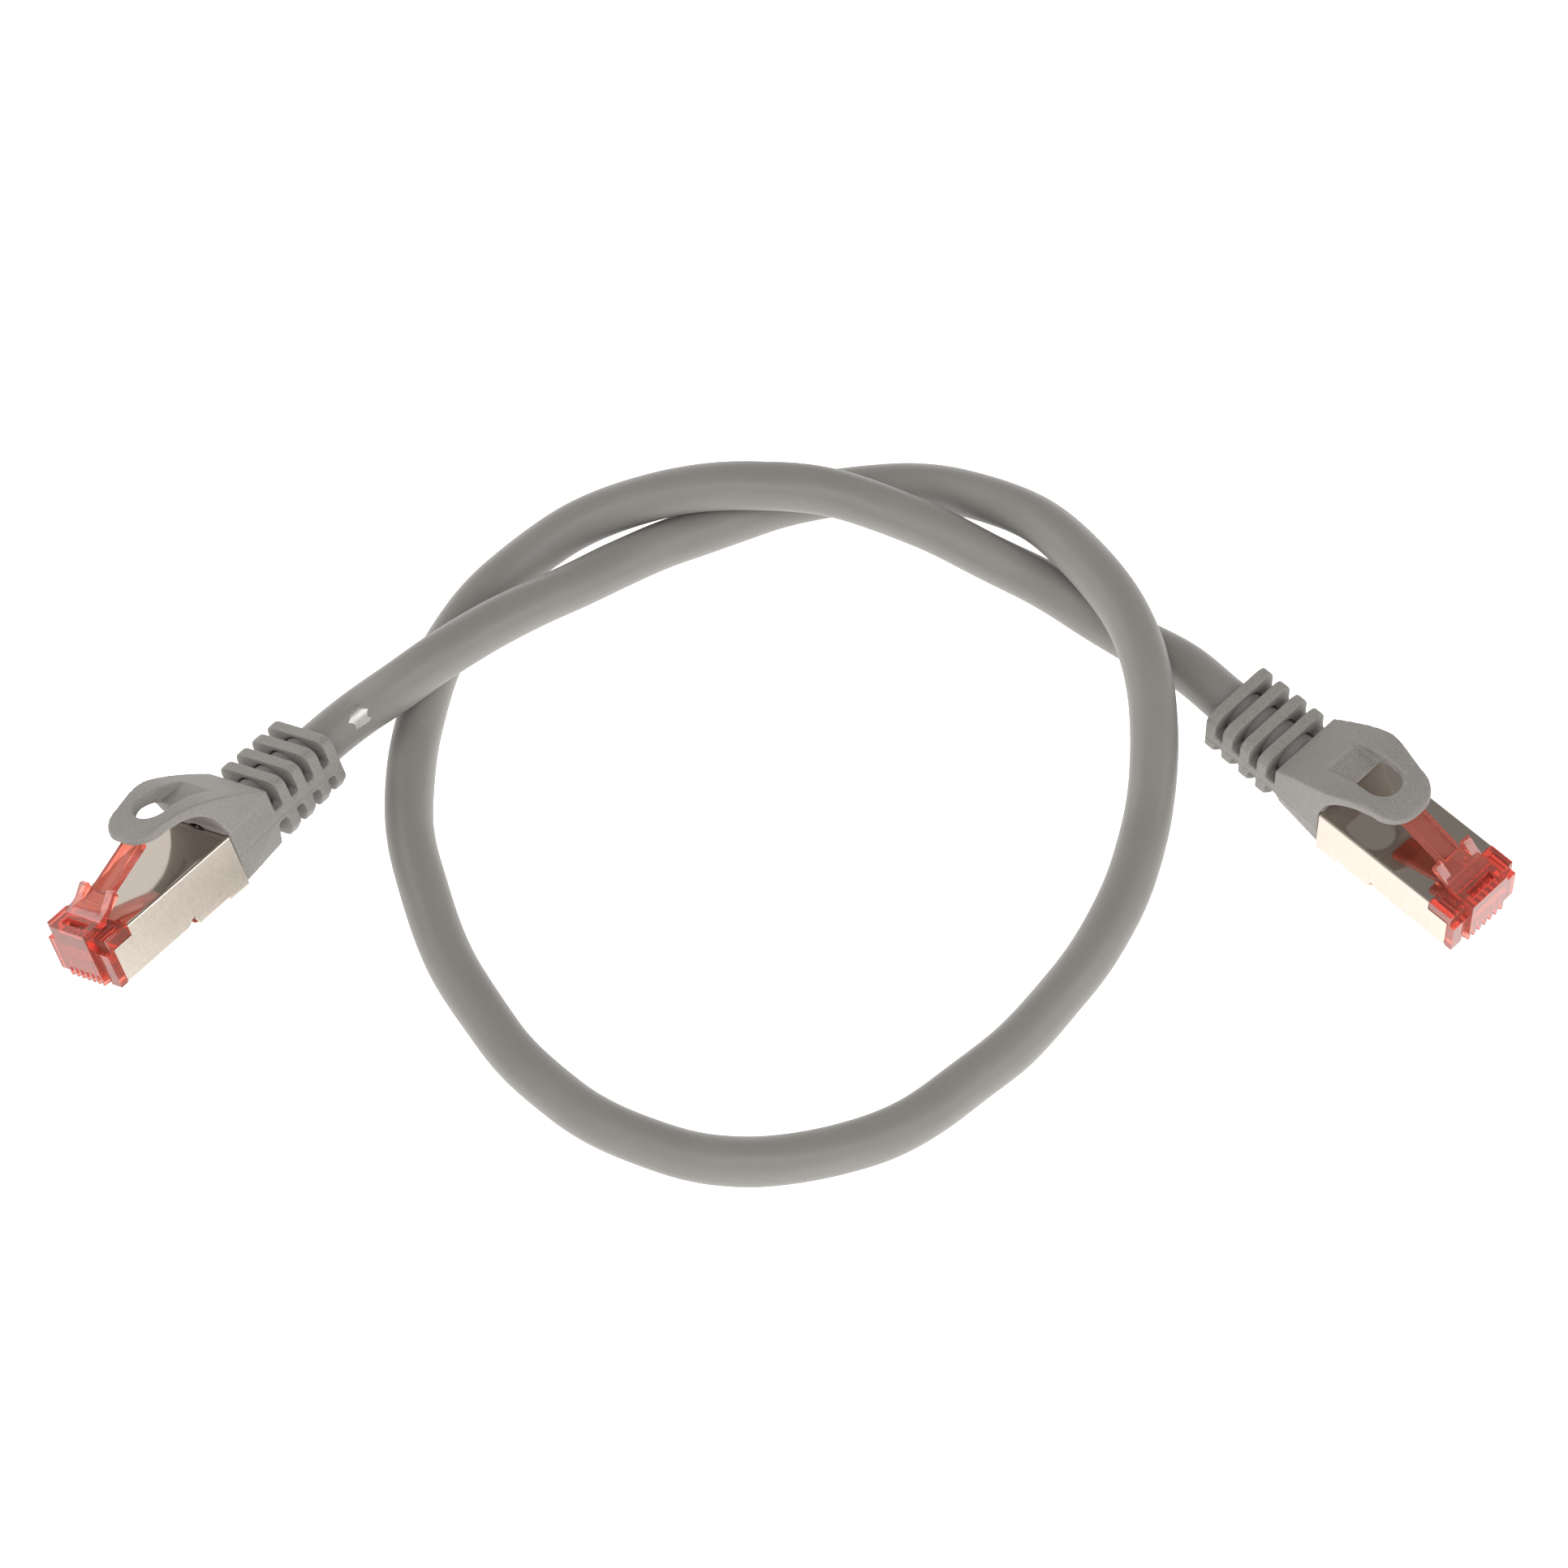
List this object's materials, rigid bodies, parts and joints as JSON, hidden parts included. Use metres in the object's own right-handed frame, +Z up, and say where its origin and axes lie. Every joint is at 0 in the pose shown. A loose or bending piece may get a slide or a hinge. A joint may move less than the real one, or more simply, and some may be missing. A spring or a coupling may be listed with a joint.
{
  "type": "ethernet patch cable",
  "caption": "Short shielded patch cable: two clear red plugs with metal shields and grey boots with latch guards, on a grey cord laid in a loose overhand knot.",
  "frame": {"origin": "on the table, under the middle of the box around the two plugs", "axes": "+X runs from the left plug to the right plug, +Y points away from the viewer along the table, +Z is up"},
  "size_m": [0.1804, 0.1037, 0.0191],
  "materials": {
    "red_housing": "clear red polycarbonate, polished",
    "nickel": "nickel-plated sheet, glossy top and satin sides",
    "grey_boot": "fine-textured soft vinyl",
    "grey_jacket": "smooth extruded vinyl",
    "clear_bar": "clear polycarbonate",
    "gold": "gold-plated",
    "tinned_braid": "woven tinned wire",
    "foil": "bright foil",
    "wire_white_orange": "solid polyethylene",
    "wire_orange": "solid polyethylene",
    "wire_white_green": "solid polyethylene",
    "wire_blue": "solid polyethylene",
    "wire_white_blue": "solid polyethylene",
    "wire_green": "solid polyethylene",
    "wire_white_brown": "solid polyethylene",
    "wire_brown": "solid polyethylene"
  },
  "bodies": {
    "cable": {"left_housing": "red_housing", "left_shield": "nickel", "left_boot": "grey_boot", "left_load_bar": "clear_bar", "left_contact_1": "gold", "left_wire_1": "wire_white_orange", "left_contact_2": "gold", "left_wire_2": "wire_orange", "left_contact_3": "gold", "left_wire_3": "wire_white_green", "left_contact_4": "gold", "left_wire_4": "wire_blue", "left_contact_5": "gold", "left_wire_5": "wire_white_blue", "left_contact_6": "gold", "left_wire_6": "wire_green", "left_contact_7": "gold", "left_wire_7": "wire_white_brown", "left_contact_8": "gold", "left_wire_8": "wire_brown", "right_housing": "red_housing", "right_shield": "nickel", "right_boot": "grey_boot", "right_load_bar": "clear_bar", "right_contact_1": "gold", "right_wire_1": "wire_white_orange", "right_contact_2": "gold", "right_wire_2": "wire_orange", "right_contact_3": "gold", "right_wire_3": "wire_white_green", "right_contact_4": "gold", "right_wire_4": "wire_blue", "right_contact_5": "gold", "right_wire_5": "wire_white_blue", "right_contact_6": "gold", "right_wire_6": "wire_green", "right_contact_7": "gold", "right_wire_7": "wire_white_brown", "right_contact_8": "gold", "right_wire_8": "wire_brown", "jacket": "grey_jacket", "braid": "tinned_braid", "orange_pair": "foil", "blue_pair": "foil", "green_pair": "foil", "brown_pair": "foil"},
    "left_latch_lever": {"left_latch": "red_housing"},
    "left_guard": {"left_latch_guard": "grey_boot"},
    "right_latch_lever": {"right_latch": "red_housing"},
    "right_guard": {"right_latch_guard": "grey_boot"}
  },
  "joints": [
    {"name": "left_guard_press", "type": "hinge", "parent": "cable", "child": "left_guard", "pos_m": [-0.07226, -0.00013, 0.01107], "axis": [0.7024, -0.533, 0.4718], "range_deg": [0, 14], "stiffness_Nm_per_rad": 0.12},
    {"name": "left_latch_press", "type": "hinge", "parent": "cable", "child": "left_latch_lever", "pos_m": [-0.08503, -0.01604, 0.0121], "axis": [-0.7024, 0.533, -0.4718], "range_deg": [0, 10.2]},
    {"name": "right_guard_press", "type": "hinge", "parent": "cable", "child": "right_guard", "pos_m": [0.06971, 0.00668, 0.0089], "axis": [0.6984, 0.7157, 0], "range_deg": [0, 14], "stiffness_Nm_per_rad": 0.12},
    {"name": "right_latch_press", "type": "hinge", "parent": "cable", "child": "right_latch_lever", "pos_m": [0.08431, -0.00756, 0.0078], "axis": [-0.6984, -0.7157, 0], "range_deg": [0, 10.2]}
  ],
  "couplings": [
    {"joint": "left_latch_press", "follows": "left_guard_press", "ratio": 0.72},
    {"joint": "right_latch_press", "follows": "right_guard_press", "ratio": 0.72}
  ]
}
